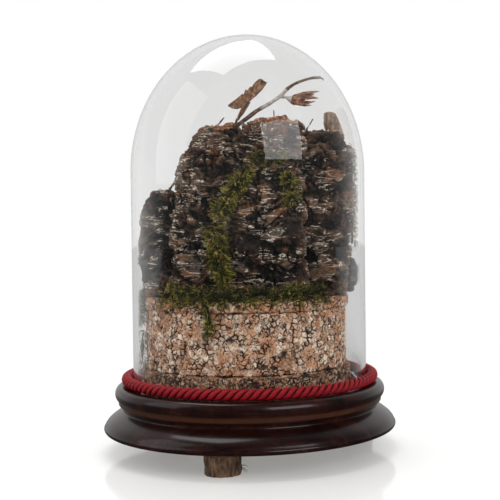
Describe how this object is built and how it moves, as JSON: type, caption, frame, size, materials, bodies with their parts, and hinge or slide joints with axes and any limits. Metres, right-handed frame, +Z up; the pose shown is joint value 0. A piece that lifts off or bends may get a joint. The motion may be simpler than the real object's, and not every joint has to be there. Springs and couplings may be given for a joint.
{
  "type": "bell jar dome",
  "caption": "Glass bell jar on a turned wooden base with stub feet and a twisted cord ring, over a cork plinth with bark, moss and a dry twig; the dome lifts off.",
  "frame": {"origin": "on the surface that the feet stand on, on the axis of the turned base", "axes": "+Z up, -Y to the front, +X to the right"},
  "size_m": [0.2, 0.2, 0.2834],
  "materials": {
    "lacquered_walnut": "gloss lacquer",
    "branch_wood": "raw",
    "zinc_steel": "zinc plated",
    "clear_glass": "clear polished",
    "crimson_cord": "satin twist",
    "pressed_cork": "granular",
    "cork_bark": "rough bark",
    "green_moss": "fibrous",
    "dry_twig": "dry bark",
    "dry_leaf": "dry, matt"
  },
  "bodies": {
    "base": {"turned_base": "lacquered_walnut", "foot_front": "branch_wood", "foot_rear_right": "branch_wood", "foot_rear_left": "branch_wood", "foot_screw_front": "zinc_steel", "foot_screw_rear_right": "zinc_steel", "foot_screw_rear_left": "zinc_steel", "trim_cord": "crimson_cord", "cork_bottom_disc": "pressed_cork", "cork_drum": "pressed_cork", "cork_top_disc": "pressed_cork", "bark_left_slab": "cork_bark", "bark_lower_left": "cork_bark", "bark_left_shoulder": "cork_bark", "bark_centre": "cork_bark", "bark_right": "cork_bark", "bark_right_chip": "cork_bark", "bark_right_chunk": "cork_bark", "bark_rear_left": "cork_bark", "bark_rear_right": "cork_bark", "bark_splinter_left": "cork_bark", "bark_splinter_top": "cork_bark", "moss_band_left": "green_moss", "moss_band_middle": "green_moss", "moss_band_right": "green_moss", "moss_strip_upper": "green_moss", "moss_strip_lower": "green_moss", "moss_patch_middle": "green_moss", "moss_patch_top": "green_moss", "moss_right_side": "green_moss", "moss_dangle": "green_moss", "moss_left_upper": "green_moss", "moss_left_lower": "green_moss", "twig_stem": "dry_twig", "leaf_stalk": "dry_twig", "seed_husk": "dry_leaf", "dry_leaf": "dry_leaf", "small_leaf": "dry_leaf"},
    "dome": {"glass_dome": "clear_glass"}
  },
  "joints": [
    {"name": "dome_lift", "type": "slide", "parent": "base", "child": "dome", "axis": [0, 0, 1], "range_m": [0, 0.25]}
  ]
}
